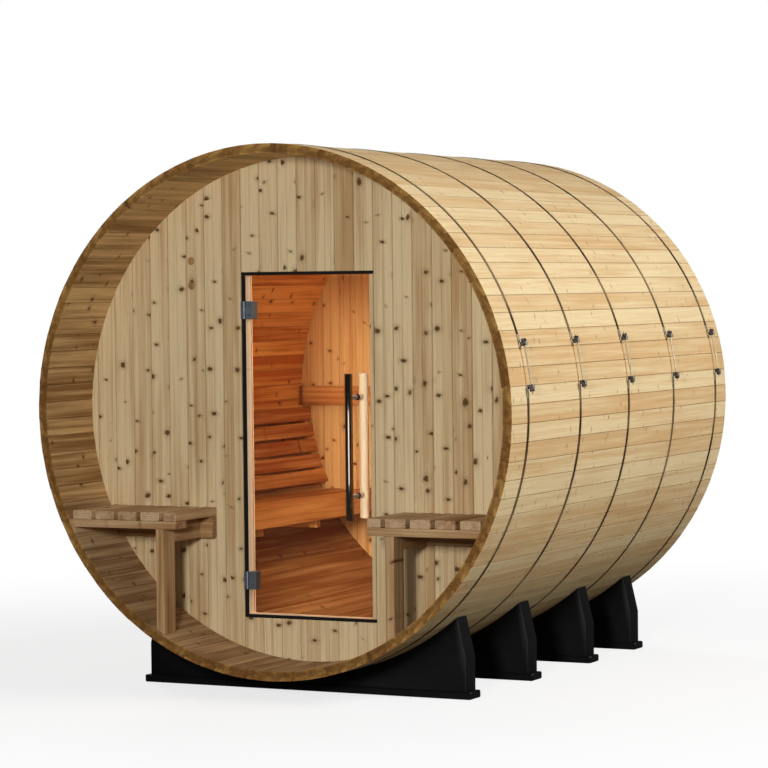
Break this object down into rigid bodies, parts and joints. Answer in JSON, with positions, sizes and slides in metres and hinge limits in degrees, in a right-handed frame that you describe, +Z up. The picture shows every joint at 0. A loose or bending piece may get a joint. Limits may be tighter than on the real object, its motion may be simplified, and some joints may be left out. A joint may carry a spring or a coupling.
{
  "type": "barrel sauna",
  "caption": "Round wooden barrel sauna lying on cradles, with an open porch and benches, a glass door in the front wall and steel straps round its staves.",
  "frame": {"origin": "on the ground, under the middle of the barrel's length and its centre line", "axes": "+Z up, +Y along the barrel from the porch to the rear wall, +X to the right as seen from the porch"},
  "size_m": [2.1657, 2.36, 2.2107],
  "materials": {
    "staves": "satin",
    "front_wall": "satin",
    "rear_wall": "satin",
    "door_frame": "satin",
    "seal": "matte",
    "hinge_steel": "brushed",
    "glass": "clear",
    "pull_metal": "polished",
    "pull_wood": "satin",
    "bench_wood": "satin",
    "cabin_wood": "satin",
    "strap_steel": "brushed",
    "cradle_plastic": "matte"
  },
  "bodies": {
    "sauna": {"backrest_ribs": "cabin_wood", "backrest_slats": "cabin_wood", "cradle_1": "cradle_plastic", "cradle_2": "cradle_plastic", "cradle_3": "cradle_plastic", "cradle_4": "cradle_plastic", "door_head": "door_frame", "door_jamb_left": "door_frame", "door_jamb_right": "door_frame", "door_seal": "seal", "door_sill": "door_frame", "front_wall_left": "front_wall", "front_wall_over_door": "front_wall", "front_wall_right": "front_wall", "front_wall_under_door": "front_wall", "hinge_brackets": "hinge_steel", "porch_bench_frame_left": "bench_wood", "porch_bench_frame_right": "bench_wood", "porch_seat_left": "bench_wood", "porch_seat_right": "bench_wood", "rear_wall_left": "rear_wall", "rear_wall_middle": "rear_wall", "rear_wall_rail": "cabin_wood", "rear_wall_right": "rear_wall", "sauna_bench_bearers": "cabin_wood", "sauna_bench_fascia": "cabin_wood", "sauna_bench_seat": "cabin_wood", "staves_bottom": "staves", "staves_left": "staves", "staves_lower_left": "staves", "staves_lower_right": "staves", "staves_right": "staves", "staves_top": "staves", "staves_upper_left": "staves", "staves_upper_right": "staves", "straps": "strap_steel", "tensioner_brackets": "strap_steel", "tensioner_rods": "strap_steel"},
    "door": {"door_glass": "glass", "hinge_clamps": "hinge_steel", "outside_pull": "pull_metal", "inside_pull": "pull_wood", "pull_bolts": "hinge_steel"}
  },
  "joints": [
    {"name": "door_hinge", "type": "hinge", "parent": "sauna", "child": "door", "pos_m": [-0.286, -0.834, 0.9915], "axis": [0, 0, -1], "range_deg": [0, 90]}
  ]
}
